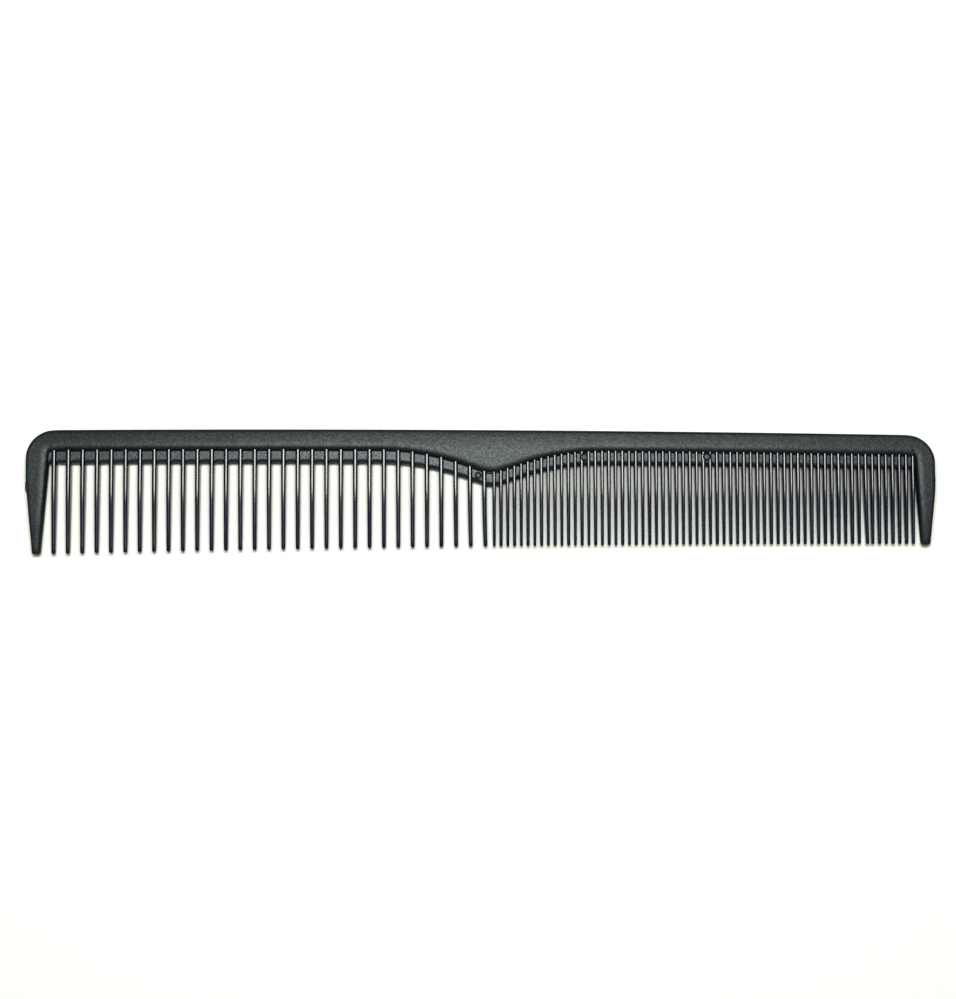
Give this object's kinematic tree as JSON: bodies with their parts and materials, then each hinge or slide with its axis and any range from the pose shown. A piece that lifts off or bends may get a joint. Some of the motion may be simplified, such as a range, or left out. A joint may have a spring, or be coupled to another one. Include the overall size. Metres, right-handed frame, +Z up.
{
  "type": "hair comb",
  "caption": "Slim black cutting comb with a coarse and a fine row of straight teeth, a spine that dips where the rows meet, and a thick guard tooth at each end.",
  "frame": {"origin": "centre of the comb's outline, on the flat face that it lies on", "axes": "+X along the comb from the coarse teeth to the fine teeth, +Y towards the back of the spine (the teeth point to -Y), +Z up through the thickness"},
  "size_m": [0.1804, 0.0248, 0.004],
  "materials": {
    "grained_body": "fine spark-eroded grain, satin",
    "web_face": "fine grain between the tooth roots, slightly lighter",
    "smooth_teeth": "polished moulded plastic, semi-gloss"
  },
  "bodies": {
    "root": {"spine": "grained_body", "coarse_end_guard": "grained_body", "fine_end_guard": "grained_body", "web": "web_face", "coarse_tooth_01": "smooth_teeth", "coarse_tooth_02": "smooth_teeth", "coarse_tooth_03": "smooth_teeth", "coarse_tooth_04": "smooth_teeth", "coarse_tooth_05": "smooth_teeth", "coarse_tooth_06": "smooth_teeth", "coarse_tooth_07": "smooth_teeth", "coarse_tooth_08": "smooth_teeth", "coarse_tooth_09": "smooth_teeth", "coarse_tooth_10": "smooth_teeth", "coarse_tooth_11": "smooth_teeth", "coarse_tooth_12": "smooth_teeth", "coarse_tooth_13": "smooth_teeth", "coarse_tooth_14": "smooth_teeth", "coarse_tooth_15": "smooth_teeth", "coarse_tooth_16": "smooth_teeth", "coarse_tooth_17": "smooth_teeth", "coarse_tooth_18": "smooth_teeth", "coarse_tooth_19": "smooth_teeth", "coarse_tooth_20": "smooth_teeth", "coarse_tooth_21": "smooth_teeth", "coarse_tooth_22": "smooth_teeth", "coarse_tooth_23": "smooth_teeth", "coarse_tooth_24": "smooth_teeth", "coarse_tooth_25": "smooth_teeth", "coarse_tooth_26": "smooth_teeth", "coarse_tooth_27": "smooth_teeth", "coarse_tooth_28": "smooth_teeth", "coarse_tooth_29": "smooth_teeth", "coarse_tooth_30": "smooth_teeth", "coarse_tooth_31": "smooth_teeth", "fine_teeth_01": "smooth_teeth", "fine_teeth_02": "smooth_teeth", "fine_teeth_03": "smooth_teeth", "fine_teeth_04": "smooth_teeth", "fine_teeth_05": "smooth_teeth", "fine_teeth_06": "smooth_teeth", "fine_teeth_07": "smooth_teeth", "fine_teeth_08": "smooth_teeth", "fine_teeth_09": "smooth_teeth", "fine_teeth_10": "smooth_teeth", "fine_teeth_11": "smooth_teeth", "fine_teeth_12": "smooth_teeth", "fine_teeth_13": "smooth_teeth", "fine_teeth_14": "smooth_teeth", "fine_teeth_15": "smooth_teeth", "fine_teeth_16": "smooth_teeth", "fine_teeth_17": "smooth_teeth", "fine_teeth_18": "smooth_teeth", "fine_teeth_19": "smooth_teeth", "fine_teeth_20": "smooth_teeth", "fine_teeth_21": "smooth_teeth"}
  },
  "joints": []
}
